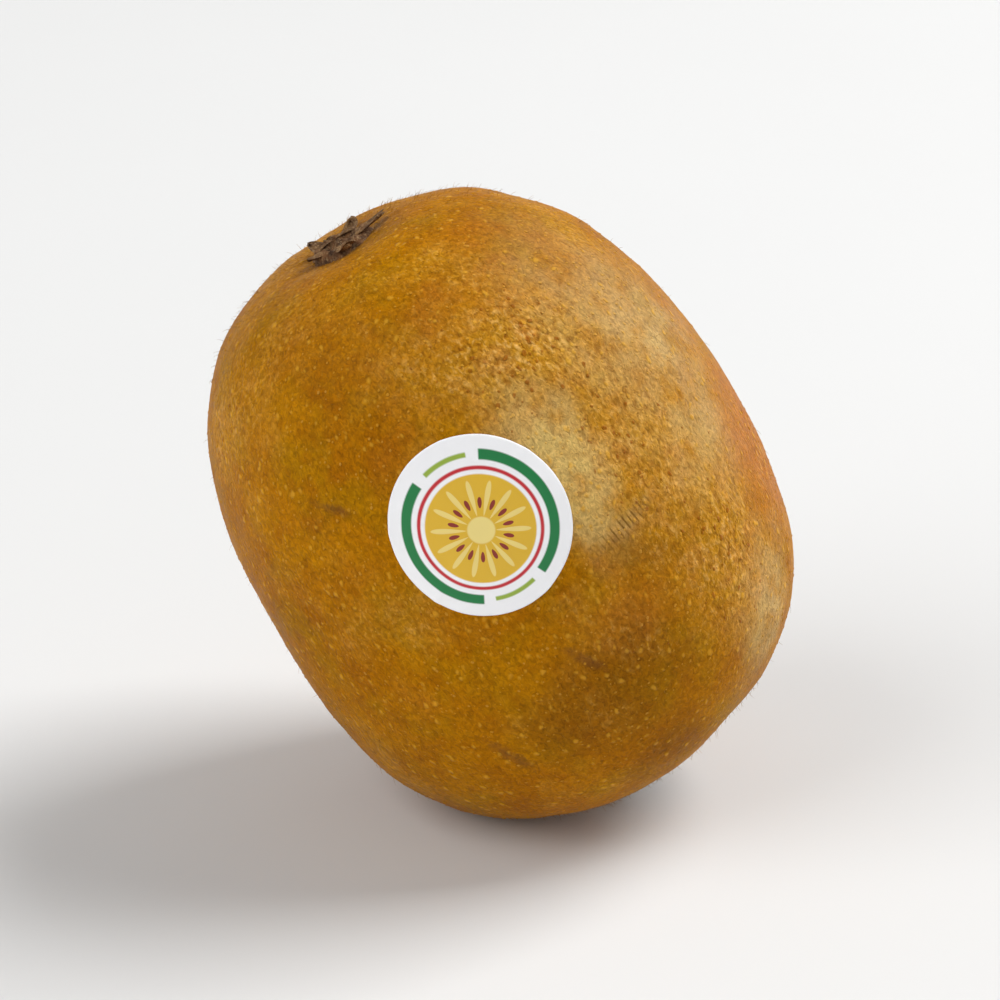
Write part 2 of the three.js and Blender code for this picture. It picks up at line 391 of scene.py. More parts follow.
# %% Skin: places and masks
ROUND_CORE, ZONE_CORE = 0.2, 0.15  # the share of a mask's radius that is full
ZONE_DEPTH, MARK_DEPTH = 12, 6  # mm
SEED_STEP = 37, 11, -23  # mm that each seed moves a cloud


def own_place(tree):
    """Object coordinates taken to the fruit's own frame, in millimetres."""
    place = add(tree, "TexCoord", "Object")
    return add(tree, "Mapping", 0, {"Vector": place, "Location": CENTRE * MM,
                                    "Rotation": (0, -LEAN, 0), "Scale": (MM, MM, MM)},
               vector_type="TEXTURE")


def patches(tree, own, size, seed, start, end):
    """A cloudy mask with patches of a size in millimetres, which rises from 0 to 1 where the
    noise goes from start to end. The seed moves it elsewhere."""
    moved = add(tree, "Mapping", 0, {"Vector": own, "Location": [seed * mm for mm in SEED_STEP]})
    cloud = add(tree, "TexNoise", 0, {"Vector": moved, "Scale": 1 / size, "Detail": 4})
    return add(tree, "MapRange", 0, {"Value": cloud, "From Min": start, "From Max": end})


def near(tree, own, down, around, radius):
    """A mask round a place on the skin: 1 in its core, falling smoothly to 0 at the radius."""
    middle = skin(towards(down, around))
    apart = add(tree, "VectorMath", "Value", {0: own, 1: middle}, operation="DISTANCE")
    return add(tree, "MapRange", 0, {"Value": apart, "From Min": radius,
                                     "From Max": radius * ROUND_CORE},
               interpolation_type="SMOOTHERSTEP")


def mark_place(tree, own, start, end, width, depth):
    """Coordinates in an ellipse on the skin: x along it, y across it and z out of it, all from
    -1 to 1 inside. Also gives half its length in mm."""
    start, end = skin(towards(*start)), skin(towards(*end))
    half_length = np.linalg.norm(end - start) / 2
    along = unit(end - start)
    across = unit(np.cross(start + end, along))
    turn = Matrix((along, across, np.cross(along, across))).transposed().to_euler()
    place = add(tree, "Mapping", 0, {"Vector": own, "Location": (start + end) / 2,
                                     "Rotation": turn, "Scale": (half_length, width / 2, depth)},
                vector_type="TEXTURE")
    return place, half_length


def zone(tree, own, start, end, width, strength=1):
    """A soft mask: its strength in an ellipse's core, falling smoothly to 0 at its edge."""
    place, _ = mark_place(tree, own, start, end, width, ZONE_DEPTH)
    far = add(tree, "VectorMath", "Value", {0: place}, operation="LENGTH")
    return add(tree, "MapRange", 0, {"Value": far, "From Min": 1, "From Max": ZONE_CORE,
                                     "To Max": strength},
               interpolation_type="SMOOTHSTEP")


def zones(tree, own, ellipses, highest=0):
    """The highest of several zones, and of a mask to start with."""
    for ellipse in ellipses:
        highest = add(tree, "Math", 0, {0: highest, 1: zone(tree, own, *ellipse)},
                      operation="MAXIMUM")
    return highest


def wander(tree, own, size, most):
    """The same coordinates pushed about by noise, so that an edge drawn on them is uneven."""
    noise = add(tree, "TexNoise", "Color", {"Vector": own, "Scale": 1 / size, "Detail": 3})
    moved = add(tree, "VectorMath", 0, {0: noise, 1: (2 * most,) * 3, 2: own},
                operation="MULTIPLY_ADD")
    return add(tree, "VectorMath", 0, {0: moved, 1: (most,) * 3}, operation="SUBTRACT")


print("the skin's front, a place for a mask, is at", skin(towards(90, -90)).round(1), "mm")

# %% [markdown]
# ## The skin's ground colour
# The ground is a golden brown that drifts to gold, olive and russet in clouds of a centimetre
# or less. The shoulder that was in the sun is weathered to a lighter gold, with an orange flush
# at the flank, and both ends are darker. Pale tan is painted over it as the light's broad
# highlight on the upper right flank, beside the sticker, where it turns straw yellow, and on the
# lower right rim. Painted shade darkens a hollow right of the sticker and the lower front. A
# zone with a plain edge would look like a stencil, so the place is pushed about by noise before
# the zones are measured, and the pale ones are also broken up by a finer cloud. The colours are
# then laid over one another like coats of thin paint, each with its own mask and opacity.

# %% Skin: colours and where they lie
GROUND_BROWN = "#a56700"
GROUND_GOLD = "#ae7200"
GROUND_OLIVE = "#966c00"
GROUND_RUSSET = "#935300"
BLUSH_ORANGE = "#ab5c26"
WEATHERED_GOLD = "#c08c28"
TINT_ORANGE = "#c98a4e"
TINT_GOLD = "#b87408"
# Painted highlight: pale tan for the light's broad sheen on the upper right flank, beside the
# sticker and on the right rim, and straw yellow beside the sticker.
HIGHLIGHT_TAN = "#c8b078"
HIGHLIGHT_STRAW = "#dcb85c"
# Painted shade: a hollow right of the sticker and the lower front.
PAINTED_SHADE_BROWN = "#7c4a04"
END_BROWN = "#7c4d0c"

# Clouds: size in mm, seed, and the noise values between which the mask rises.
GOLD_CLOUDS = 9, 0, 0.4, 0.62
OLIVE_CLOUDS = 6, 1, 0.48, 0.66
RUSSET_CLOUDS = 3, 2, 0.5, 0.68
FLUSH_CLOUDS = 12, 3, 0.55, 0.75
WEATHER_CLOUDS = 13, 4, 0.52, 0.9
ORANGE_TINT_CLOUDS = 2.6, 8, 0.47, 0.68
GOLD_TINT_CLOUDS = 1.7, 9, 0.47, 0.68
# This cloud breaks up the painted highlight.
HIGHLIGHT_CLOUDS = 3.2, 12, 0.22, 0.52

# Round places: down, around, radius in mm.
# The straw place is the painted highlight beside the sticker.
HIGHLIGHT_STRAW_PLACE = 75, -65, 12
BLUSH_PLACE = 103, -3, 14
STALK_PLACE = 0, 0, 10
BLOSSOM_PLACE = 180, 0, 12

# Zones: from (down, around), to (down, around), width in mm, and the strength if it isn't 1.
WEATHERED_ZONES = [((38, -96), (72, -30), 24), ((34, -50), (124, -41), 29),
                   ((78, -38), (140, -44), 22, 0.75)]
# Painted highlight zones: the upper right flank, beside the sticker, and the lower right rim.
HIGHLIGHT_ZONES = [((24, -20), (114, -26), 29), ((48, -68), (102, -62), 15, 0.88),
              ((108, -23), (148, -42), 16, 0.7)]
# Painted shade zones: a hollow right of the sticker and three on the lower front.
PAINTED_SHADE_ZONES = [((90, -69), (104, -49), 5, 0.75), ((104, -62), (138, -97), 18),
               ((148, -90), (132, -62), 15), ((117, -108), (125, -70), 17)]
EDGE_WANDER = 8, 4  # size and reach in mm of the unevenness of a zone's edge

sunny_side = skin(towards(*WEATHERED_ZONES[1][0])) - skin(towards(*WEATHERED_ZONES[1][1]))
print("the weathered shoulder is", np.linalg.norm(sunny_side).round(1), "mm long")

# %% Skin: the ground colour
def paint(tree, colour, mask, hex_colour, most):
    """Paints a colour over another where the mask is 1, with an opacity of at most `most`."""
    share = add(tree, "Math", 0, {0: mask, 1: most}, operation="MULTIPLY")
    return add(tree, "Mix", "Result", {"Factor": share, "A": colour, "B": linear(hex_colour)},
               data_type="RGBA")


def plain_skin(tree):
    """What every finish on the skin starts from: the place in the fruit's own frame, where the
    skin is weathered and where it has the painted highlight, and its ground colour with all its
    coats, the painted highlight and painted shade among them."""
    own = own_place(tree)
    moved = wander(tree, own, *EDGE_WANDER)
    weathered = zones(tree, moved, WEATHERED_ZONES, patches(tree, own, *WEATHER_CLOUDS))
    # pale is the mask of the painted highlight, and straw_highlight its part beside the sticker.
    pale = add(tree, "Math", 0, {0: zones(tree, moved, HIGHLIGHT_ZONES),
                                 1: patches(tree, own, *HIGHLIGHT_CLOUDS)}, operation="MULTIPLY")
    straw_highlight = add(tree, "Math", 0, {0: pale, 1: near(tree, own, *HIGHLIGHT_STRAW_PLACE)},
                operation="MULTIPLY")
    tints = [add(tree, "Math", 0, {0: patches(tree, own, *clouds), 1: weathered},
                 operation="MULTIPLY") for clouds in (ORANGE_TINT_CLOUDS, GOLD_TINT_CLOUDS)]
    colour = add(tree, "Mix", "Result", {"Factor": patches(tree, own, *GOLD_CLOUDS),
                                         "A": linear(GROUND_BROWN), "B": linear(GROUND_GOLD)},
                 data_type="RGBA")
    coats = [  # mask, colour, opacity
        (patches(tree, own, *OLIVE_CLOUDS), GROUND_OLIVE, 0.5),
        (patches(tree, own, *RUSSET_CLOUDS), GROUND_RUSSET, 0.5),
        (weathered, WEATHERED_GOLD, 0.8),
        # Painted highlight: pale tan, and straw yellow beside the sticker.
        (pale, HIGHLIGHT_TAN, 0.88),
        (straw_highlight, HIGHLIGHT_STRAW, 0.45),
        (tints[0], TINT_ORANGE, 0.42),
        (tints[1], TINT_GOLD, 0.42),
        (near(tree, own, *BLUSH_PLACE), BLUSH_ORANGE, 0.5),
        (patches(tree, own, *FLUSH_CLOUDS), BLUSH_ORANGE, 0.3),
        # Painted shade, in a hollow and on the lower front.
        (zones(tree, moved, PAINTED_SHADE_ZONES), PAINTED_SHADE_BROWN, 0.6),
        (near(tree, own, *STALK_PLACE), END_BROWN, 0.6),
        (near(tree, own, *BLOSSOM_PLACE), END_BROWN, 0.75),
    ]
    for mask, hex_colour, opacity in coats:
        colour = paint(tree, colour, mask, hex_colour, opacity)
    return own, weathered, pale, colour


half = [(ground + coat) / 2 for ground, coat in zip(linear(GROUND_BROWN), linear(HIGHLIGHT_TAN))]
print("a half coat of pale tan on brown gives", [round(part, 3) for part in half[:3]])

# %% [markdown]
# ## Grain, pebbles, flecks and pores
#
# Close up, the skin has a short grain that runs along the fruit, and where it is weathered it
# breaks into low pebbles with pale corky tops and dark brown gaps; these colours also paint the
# glints of light on the pebbles and the shade in their gaps. Noise squeezed along the fruit
# gives the grain and the pebbles. Soft gold flecks of cork, about 0.3 to 0.8 mm wide and a
# millimetre apart, and rust-brown lenticels, the pores that the fruit breathes through, stand a
# little proud of the skin, with finer brown pores between them. The cells of a Voronoi texture
# give such spots: each cell has one, and the cell's own random colour sets its size. The finest
# pores and the cells of the cork are under 0.1 mm wide, too small to show, so they are drawn as
# spots and grain of a few tenths.

# %% Skin: marks
GRAIN_WIDTH, GRAIN_STRETCH = 0.4, 0.75
PEBBLE_SIZE, PEBBLE_STRETCH = 0.55, 0.6
# Spots: spacing in mm, seed, and the width of the soft edge as a share of the spacing.
FLECKS = 1.05, 5, 0.26
PORES = 0.5, 2, 0.4
LENTICELS = 0.84, 9, 0.17
FLECK_RADII = 0.14, 0.4  # shares of the spacing
SPOT_STRETCH = 0.8
SPOT_WAVER = 0.8, 0.7  # how often and how far the grid of spots wavers, for a spacing of 1


def skin_grain(tree, own):
    """Fine short streaks along the fruit: noise squeezed along its axis."""
    along = add(tree, "Mapping", 0, {"Vector": own, "Scale": (1, 1, GRAIN_STRETCH)})
    return add(tree, "TexNoise", 0, {"Vector": along, "Scale": 1 / GRAIN_WIDTH, "Detail": 2,
                                     "Roughness": 0.6, "Distortion": 1})


def skin_pebbles(tree, own, least, most, amount):
    """Low bumps, a little longer along the fruit: the noise itself, and a mask that rises from
    0 to the amount where the noise goes from least to most."""
    along = add(tree, "Mapping", 0, {"Vector": own, "Scale": (1, 1, PEBBLE_STRETCH)})
    noise = add(tree, "TexNoise", 0, {"Vector": along, "Scale": 1 / PEBBLE_SIZE, "Detail": 1.5,
                                      "Roughness": 0.5, "Distortion": 0.5})
    mask = add(tree, "MapRange", 0, {"Value": noise, "From Min": least, "From Max": most,
                                     "To Max": amount})
    return noise, mask


def spots(tree, own, kind, smallest, largest):
    """Random round spots, one in each cell of a grid that wavers: a mask that is 1 inside each
    and falls to 0 at its radius. The radii are shares of the spacing."""
    spacing, seed, softness = kind
    often, far = SPOT_WAVER
    waver = add(tree, "TexNoise", "Color", {"Vector": own, "Scale": often / spacing, "Detail": 1})
    moved = add(tree, "Mapping", 0, {"Vector": own, "Location": (seed, -seed, seed * 3),
                                     "Scale": (1, 1, SPOT_STRETCH)})
    bent = add(tree, "VectorMath", 0, {0: waver, 1: (spacing * far,) * 3, 2: moved},
               operation="MULTIPLY_ADD")
    distance = add(tree, "TexVoronoi", "Distance", {"Vector": bent, "Scale": 1 / spacing})
    chance = add(tree, "SeparateColor", 0, {0: distance.node.outputs["Color"]})
    radius = add(tree, "MapRange", 0, {"Value": chance, "To Min": smallest, "To Max": largest})
    inner = add(tree, "Math", 0, {0: radius, 1: softness}, operation="SUBTRACT")
    return add(tree, "MapRange", 0, {"Value": distance, "From Min": radius, "From Max": inner},
               interpolation_type="SMOOTHSTEP")


print("flecks are", [round(2 * FLECKS[0] * share, 2) for share in FLECK_RADII], "mm wide")

# %% [markdown]
# ## Wear
#
# A fruit that was packed and carried has rubbed marks: long, dull, purple-brown scuffs, and on
# its shoulder a row of fine parallel scratches over a pale rubbed patch, which also holds a
# painted sheen of light. Each is an ellipse between two places on the skin. A Mapping node of
# the Texture type moves, turns and shrinks the place so that the ellipse becomes a ball of
# radius 1, and noise added to the distance makes its edge ragged.

# %% Skin: wear
SCUFF_BROWN = "#5a3524"
SCRATCH_BROWN = "#6b430f"
# A pale rubbed patch that also holds a painted sheen of light.
RUBBED_PALE_SHEEN = "#cdb07a"
SCUFFS = [  # from (down, around), to (down, around), width in mm
    ((107, -84), (117, -78), 1.5),
    ((118, -111), (131, -104), 1.7),
    ((66, 58), (77, 66), 1.3),
    ((121, 148), (127, 160), 1.6),
    ((92, -172), (101, -161), 1.2),
    ((58, -120), (63, -109), 1.1),
]
SCRATCHED = ((93, -68), (90, -50), 2.4)
SCRATCH_SPACING = 0.55  # mm
RAG_FINENESS, RAG_DEPTH = 1.4, 1.6  # noise waves in a mm, and how far they push the edge
RAG_OUTSIDE, RAG_INSIDE = 1.9, 1.1


def ragged_ellipse(tree, own, start, end, width):
    """1 inside an ellipse, with an edge that noise makes ragged, and the ellipse's place."""
    place, half_length = mark_place(tree, own, start, end, width, MARK_DEPTH)
    far = add(tree, "VectorMath", "Value", {0: place}, operation="LENGTH")
    noise = add(tree, "TexNoise", 0, {"Vector": own, "Scale": RAG_FINENESS, "Detail": 3})
    far = add(tree, "Math", 0, {0: noise, 1: RAG_DEPTH, 2: far}, operation="MULTIPLY_ADD")
    inside = add(tree, "MapRange", 0, {"Value": far, "From Min": RAG_OUTSIDE,
                                       "From Max": RAG_INSIDE})
    return inside, place, half_length


def skin_wear(tree, own, colour):
    """Scuffs, scratches and a pale rubbed patch with a painted sheen, over a colour. Gives the
    colour and how worn the skin is.
    """
    worn = 0
    for ellipse in SCUFFS:
        scuff, _, _ = ragged_ellipse(tree, own, *ellipse)
        colour = paint(tree, colour, scuff, SCUFF_BROWN, 0.45)
        worn = add(tree, "Math", 0, {0: scuff, 1: worn}, operation="ADD")
    rubbed_sheen, place, half_length = ragged_ellipse(tree, own, *SCRATCHED)
    # The pale rubbed patch under the scratches, with a painted sheen of light.
    colour = paint(tree, colour, rubbed_sheen, RUBBED_PALE_SHEEN, 0.15)
    along = add(tree, "SeparateXYZ", 0, {0: place})
    wave = add(tree, "Math", 0, {0: along, 1: 2 * math.pi * half_length / SCRATCH_SPACING},
               operation="MULTIPLY")
    wave = add(tree, "Math", 0, {0: wave}, operation="SINE")
    scratch = add(tree, "MapRange", 0, {"Value": wave, "From Min": 0.1, "From Max": 0.9})
    scratch = add(tree, "Math", 0, {0: scratch, 1: rubbed_sheen}, operation="MULTIPLY")
    worn = add(tree, "Math", 0, {0: scratch, 1: worn}, operation="ADD")
    return paint(tree, colour, scratch, SCRATCH_BROWN, 0.75), worn


scratched = np.linalg.norm(np.subtract(*[skin(towards(*end)) for end in SCRATCHED[:2]]))
print("the scratched row has about", round(scratched / SCRATCH_SPACING), "scratches")

# %% [markdown]
# ## The skin's material
#
# Every mark gives both a colour and a height, so that the two always agree. The heights, in
# millimetres, are added up for one Bump node, since marks this low would need millions of
# faces as geometry. Corky skin scatters the light, which gives the eye broad, dull highlights
# and no mirror image: it is rough, more so on top of the grain, its specular level is far
# below that of a wet or waxed fruit, and a trace of sheen stands for down too fine to model.

# %% Skin: the material
FLECK_GOLD = "#e2a630"
LENTICEL_RUST = "#94500a"
PORE_BROWN = "#83500f"
# On the pebbles, cork tan and gap brown are also a painted glint and painted shade.
CORK_TAN = "#e9bb74"
GAP_SHADE_BROWN = "#7a4200"
SHEEN_TAN = "#f0d8b4"
# Pale skin here is the skin under the painted highlight, which is also smoother.
PALE_ROUGHNESS = -0.5  # what pale skin takes off the roughness of weathered skin
PEBBLE_TOPS, PEBBLE_GAPS = (0.52, 0.75), (0.48, 0.25)  # noise values between which each shows
# On plain and on weathered skin: how strong the pebbles are, and the spots' radii as shares.
PEBBLE_RELIEF = 0.35, 1.3
SMALLEST_PORE, LARGEST_PORE = 0.05, (0.1, 0.6)
SMALLEST_LENTICEL, LARGEST_LENTICEL = (-0.1, 0.14), (0.08, 0.54)
GRAIN_LOW, GRAIN_HIGH = 0.3, 0.7  # the noise values that the grain mostly has
HEIGHTS = {"pebble": 0.14, "grain": 0.1, "fleck": 0.1, "lenticel": 0.1, "pore": 0.08,
           "wear": -0.06}  # mm


def skin_material():
    """Cuticle: the ground colour, with marks that colour it and raise or sink it."""
    material, tree = new_material("kiwi_skin_cuticle")
    own, weathered, pale, colour = plain_skin(tree)

    # pale, the painted highlight's mask, also lowers the pebbles there.
    rough = add(tree, "Math", 0, {0: pale, 1: PALE_ROUGHNESS, 2: weathered},
                operation="MULTIPLY_ADD")
    amount, most_pore, least_lenticel, most_lenticel = [
        add(tree, "MapRange", 0, {"Value": where, "To Min": plain, "To Max": worn})
        for where, (plain, worn) in ((rough, PEBBLE_RELIEF), (weathered, LARGEST_PORE),
                                     (weathered, SMALLEST_LENTICEL),
                                     (weathered, LARGEST_LENTICEL))]
    pebble, tops = skin_pebbles(tree, own, *PEBBLE_TOPS, amount)
    _, gaps_and_shade = skin_pebbles(tree, own, *PEBBLE_GAPS, amount)
    pebble = add(tree, "Math", 0, {0: pebble, 1: amount}, operation="MULTIPLY")
    worn_tops_and_glints = add(tree, "Math", 0, {0: tops, 1: weathered}, operation="MULTIPLY")
    # Pale corky tops and brown gaps, which also paint the glints of light on the pebbles and the
    # shade in their gaps.
    colour = paint(tree, colour, tops, FLECK_GOLD, 0.25)
    colour = paint(tree, colour, worn_tops_and_glints, CORK_TAN, 0.55)
    colour = paint(tree, colour, gaps_and_shade, GAP_SHADE_BROWN, 0.65)

    grain = skin_grain(tree, own)
    shade = add(tree, "MapRange", 0, {"Value": grain, "From Min": GRAIN_LOW,
                                      "From Max": GRAIN_HIGH, "To Min": 0.7, "To Max": 1.3})
    colour = add(tree, "Mix", "Result", {"Factor": 1, "A": colour, "B": shade},
                 data_type="RGBA", blend_type="MULTIPLY")

    fleck = spots(tree, own, FLECKS, *FLECK_RADII)
    pore = spots(tree, own, PORES, SMALLEST_PORE, most_pore)
    lenticel = spots(tree, own, LENTICELS, least_lenticel, most_lenticel)
    colour = paint(tree, colour, fleck, FLECK_GOLD, 0.53)
    colour = paint(tree, colour, pore, PORE_BROWN, 0.45)
    colour = paint(tree, colour, lenticel, LENTICEL_RUST, 0.72)
    colour, worn = skin_wear(tree, own, colour)

    height = 0
    marks = {"pebble": pebble, "grain": grain, "fleck": fleck, "lenticel": lenticel,
             "pore": pore, "wear": worn}
    for name, mark in marks.items():
        height = add(tree, "Math", 0, {0: mark, 1: HEIGHTS[name], 2: height},
                     operation="MULTIPLY_ADD")
    bump = add(tree, "Bump", 0, {"Height": height, "Distance": MM})
    gloss = add(tree, "MapRange", 0, {"Value": grain, "From Min": GRAIN_LOW,
                                      "From Max": GRAIN_HIGH, "To Min": 0.4, "To Max": 0.52})
    surface = add(tree, "BsdfPrincipled", 0, {
        "Base Color": colour, "Roughness": gloss, "Normal": bump, "IOR": 1.45,
        "Specular IOR Level": 0.04, "Sheen Weight": 0.05, "Sheen Roughness": 0.35,
        "Sheen Tint": linear(SHEEN_TAN)})
    add(tree, "OutputMaterial", None, {"Surface": surface})
    return material


finish_piece(kiwi_skin, skin_material(), "fruit")

# %% [markdown]
# ## Fastening small pieces to the skin
#
# The scar, the sticker, the dried styles and every hair sit on the skin. Each is placed by
# walking over the skin: so many millimetres from a spot, in a direction that is told by an
# angle, and then up from the skin. A piece made this way follows the fruit's curve by itself.

# %% Places over the skin
def over_skin(middle, distance, turn, height):
    """Points over the skin round a spot, as arrays. The walk goes distance mm from the middle
    towards the angle turn in radians, and then rises height mm."""
    side = unit(np.array([1, 0, 0]) - middle * middle[0])
    across = np.cross(middle, side)
    distance, turn, height = [part[..., None] for part in
                              np.broadcast_arrays(distance, turn, height)]
    angle = distance / reach(middle)
    sideways = side * np.cos(turn) + across * np.sin(turn)
    direction = sideways * np.sin(angle) + middle * np.cos(angle)
    return fine_skin(direction) + direction * height


def round_turns(columns):
    """Angles of a ring's columns."""
    return np.linspace(0, 2 * np.pi, columns, endpoint=False)


def flat_map(distance, turn):
    """The same walk on flat paper, in mm: a place to work out relief on."""
    across, along = np.broadcast_arrays(distance * np.cos(turn), distance * np.sin(turn))
    return np.stack([across, along, 0 * across], axis=-1)


def tubes(middles, radii, up, sides):
    """Round threads: middles is (threads, steps, 3) points along each, radii (threads, steps),
    and up the direction away from the skin. A ring is a cos t + b sin t times the radius, with
    a across the thread and up, and b across both. Gives grids and their two end points."""
    ahead = unit(np.gradient(middles, axis=1))
    aside = unit(np.cross(up, ahead))
    over = np.cross(aside, ahead)
    turn = round_turns(sides)[:, None]
    ring = aside[:, :, None] * np.cos(turn) + over[:, :, None] * np.sin(turn)
    grids = middles[:, :, None] + ring * radii[..., None, None]
    first = middles[:, 0] - ahead[:, 0] * radii[:, :1] / 2
    last = middles[:, -1] + ahead[:, -1] * radii[:, -1:]
    return grids, first, last


print("one side of the stalk scar is at", stand(over_skin(STALK_END, 3.7, 0, 0)).round(4), "m")

# %% [markdown]
# ## The stalk's scar
#
# Where the stalk broke off, cork has sealed the wound: a raised woody core with torn fibres, a
# groove round it and a cracked collar. It is a closed grid whose rows run from the middle of
# the top out to the edge and back under the skin, with its height told by the distance.

# %% Stalk scar
CORE_RADIUS, CORE_HEIGHT = 1.5, 1.25
GROOVE_HEIGHT = 0.42
COLLAR_RADIUS, COLLAR_HEIGHT = 2.7, 1.05
SCAR_RADIUS = 3.9
SCAR_ROWS, SCAR_COLUMNS = 70, 200
ROOT_DEPTH = 0.35


def scar_height(distance, turn):
    """A bell for the core, a collar that rises from the groove and falls to the edge, and
    cracks that run outwards, more of them further out."""
    core = CORE_HEIGHT * bell(distance, CORE_RADIUS)
    collar = COLLAR_HEIGHT * smoothstep(distance, CORE_RADIUS, COLLAR_RADIUS)
    edge = smoothstep(distance, COLLAR_RADIUS, SCAR_RADIUS)
    height = np.maximum(np.maximum(core, GROOVE_HEIGHT), collar) * (1 - edge) - 0.1 * edge
    flat = flat_map(distance, turn)
    fibres = 0.16 * ripple(flat, 0.55, 11) * bell(distance, CORE_RADIUS)
    lumps = 0.28 * ripple(flat, 2.2, 12) * smoothstep(distance, 0.8, 2.2) * (1 - edge)
    cracks = np.abs(np.sin(8.5 * turn + 1.5 * ripple(flat, 1.6, 13))) ** 0.4 - 1
    cracks = 0.22 * cracks * smoothstep(distance, 1.2, 2.2) * (1 - edge)
    height = height + fibres + lumps + cracks + 0.05 * ripple(flat, 0.35, 14) * (1 - edge)
    return np.maximum(height, 0.15 - 0.3 * edge)


def make_scar():
    """Rows out over the top, then back in under the skin."""
    turn = round_turns(SCAR_COLUMNS)[None, :]
    uneven = 1 + 0.05 * np.sin(3 * turn + 1) + 0.035 * np.sin(7 * turn)
    out = np.linspace(0, 1, SCAR_ROWS + 1)[1:, None]
    distance = out * SCAR_RADIUS * uneven
    over = over_skin(STALK_END, distance, turn, scar_height(out * SCAR_RADIUS, turn))
    under = over_skin(STALK_END, distance[-1:] * 0.9, turn, np.full((1, 1), -ROOT_DEPTH))
    top, bottom = over_skin(STALK_END, 0, 0, np.array([CORE_HEIGHT, -ROOT_DEPTH]))
    return closed_grid("stalk_scar_cork", stand(np.concatenate([over, under])),
                       stand(top), stand(bottom))


stalk_scar = make_scar()

# %% [markdown]
# ## The sepals' stubs
#
# Five sepals once held the flower bud. On the ripe fruit they are short, dry, curled scales
# round the scar. Each is a closed grid along its length: every row is a flat loop that runs
# across the top of the scale and back underneath, and the rows narrow to a ragged tip.

# %% Sepals
SEPALS = 5
SEPAL_FROM, SEPAL_REACH = 2.3, 3.1
SEPAL_WIDTH, SEPAL_THICKNESS = 2.5, 0.24
SEPAL_UNEVENNESS = 0.5
SEPAL_ROWS, SEPAL_COLUMNS = 22, 28


def make_sepals():
    """All the scales at once, as (sepals, rows, columns) arrays of distance, turn, height. The
    half width falls as sqrt(1 - s^2.6) with the share s of the length, and the curl is a cubic
    in s that dips and then lifts the tip."""
    number = np.arange(SEPALS)[:, None, None]
    middle_turn = number * 2 * np.pi / SEPALS
    length = SEPAL_REACH * (1 - SEPAL_UNEVENNESS * np.sin(middle_turn / 2) ** 2)
    along = np.linspace(0, 1, SEPAL_ROWS)[None, :, None]
    loop = round_turns(SEPAL_COLUMNS)[None, None, :]
    across = np.cos(loop)
    half_width = SEPAL_WIDTH / 2 * np.sqrt(np.clip(1 - along**2.6, 0, 1)) + 0.03
    ragged = 1 + 0.12 * np.sin(5 * across + 2 * number) * along
    distance = SEPAL_FROM + length * along * ragged
    curl = 0.95 - 1.1 * along + 1.15 * along**3 + 0.25 * np.sin(2.1 * number + 4 * along) * along
    cup = 0.35 * across**2 * along
    ribs = 0.05 * np.cos(9 * across)
    thickness = SEPAL_THICKNESS * (1 - 0.5 * along)
    height = 0.28 + curl * 0.75 + cup + ribs + thickness / 2 * np.sin(loop)
    turn = middle_turn - half_width * across / np.maximum(distance, 1.0)
    grids = over_skin(STALK_END, distance, turn, height)
    first, last = grids[:, 0].mean(axis=1), grids[:, -1].mean(axis=1)
    return closed_grids("sepal_stubs", stand(grids), stand(first), stand(last))


sepals = make_sepals()

# %% [markdown]
# ## Cork and dry scale
#
# Both are dead plant tissue: open, torn cells that scatter the light, so the eye sees a matt,
# brown surface with greyer, weathered spots. Blender's Pointiness could find the high spots,
# but the export loses it, so noise on the piece's place gives dark and middling brown patches
# of a millimetre, and a finer grain gives the pale spots and the bump together. One material
# with other colours serves every dry piece of the fruit.

# %% Cork material
TISSUE_CLOUDS = 1.1, 6, 0.35, 0.65  # as for the skin
WORN_FROM, WORN_TO = 0.5, 0.72
TISSUE_RELIEF = 0.12  # mm


def dry_material(name, dark, mid, pale, grain_size, roughness, shine=0.3):
    """Dry tissue: coarse patches from dark to mid, and fine pale grain that also gives bump."""
    material, tree = new_material(name)
    own = own_place(tree)
    colour = add(tree, "Mix", "Result", {"Factor": patches(tree, own, *TISSUE_CLOUDS),
                                         "A": linear(dark), "B": linear(mid)}, data_type="RGBA")
    grain = add(tree, "TexNoise", 0, {"Vector": own, "Scale": 1 / grain_size, "Detail": 3,
                                      "Roughness": 0.65})
    worn = add(tree, "MapRange", 0, {"Value": grain, "From Min": WORN_FROM,
                                     "From Max": WORN_TO})
    colour = paint(tree, colour, worn, pale, 0.7)
    bump = add(tree, "Bump", 0, {"Height": grain, "Distance": TISSUE_RELIEF * MM})
    surface = add(tree, "BsdfPrincipled", 0, {"Base Color": colour, "Roughness": roughness,
                                              "Normal": bump, "IOR": 1.5,
                                              "Specular IOR Level": shine})
    add(tree, "OutputMaterial", None, {"Surface": surface})
    return material


scar_cork = dry_material("corky_scar_tissue", "#3a2413", "#7a5331", "#a98a62",
                         grain_size=0.3, roughness=0.85)
finish_piece(stalk_scar, scar_cork, "stalk_scar")
sepal_scale = dry_material("dry_sepal_scale", "#4a2e16", "#7d5a34", "#b39468",
                           grain_size=0.25, roughness=0.75)
finish_piece(sepals, sepal_scale, "stalk_scar")

# %% [markdown]
# ## The dried styles
#
# At the blossom end the flower's styles have dried into a small dark brush. They grow from a
# corky disc, splay out like spokes and curl over. Hair particles would be the quick way, but
# the export drops them, so each style is a thin tube with a slightly swollen tip. Finer, paler
# threads, the stamens' remains, stand in a ring round them.

# %% Blossom end: the disc
DISC_RADIUS, DISC_HEIGHT = 2.5, 0.95  # mm
DISC_ROWS, DISC_COLUMNS = 30, 96


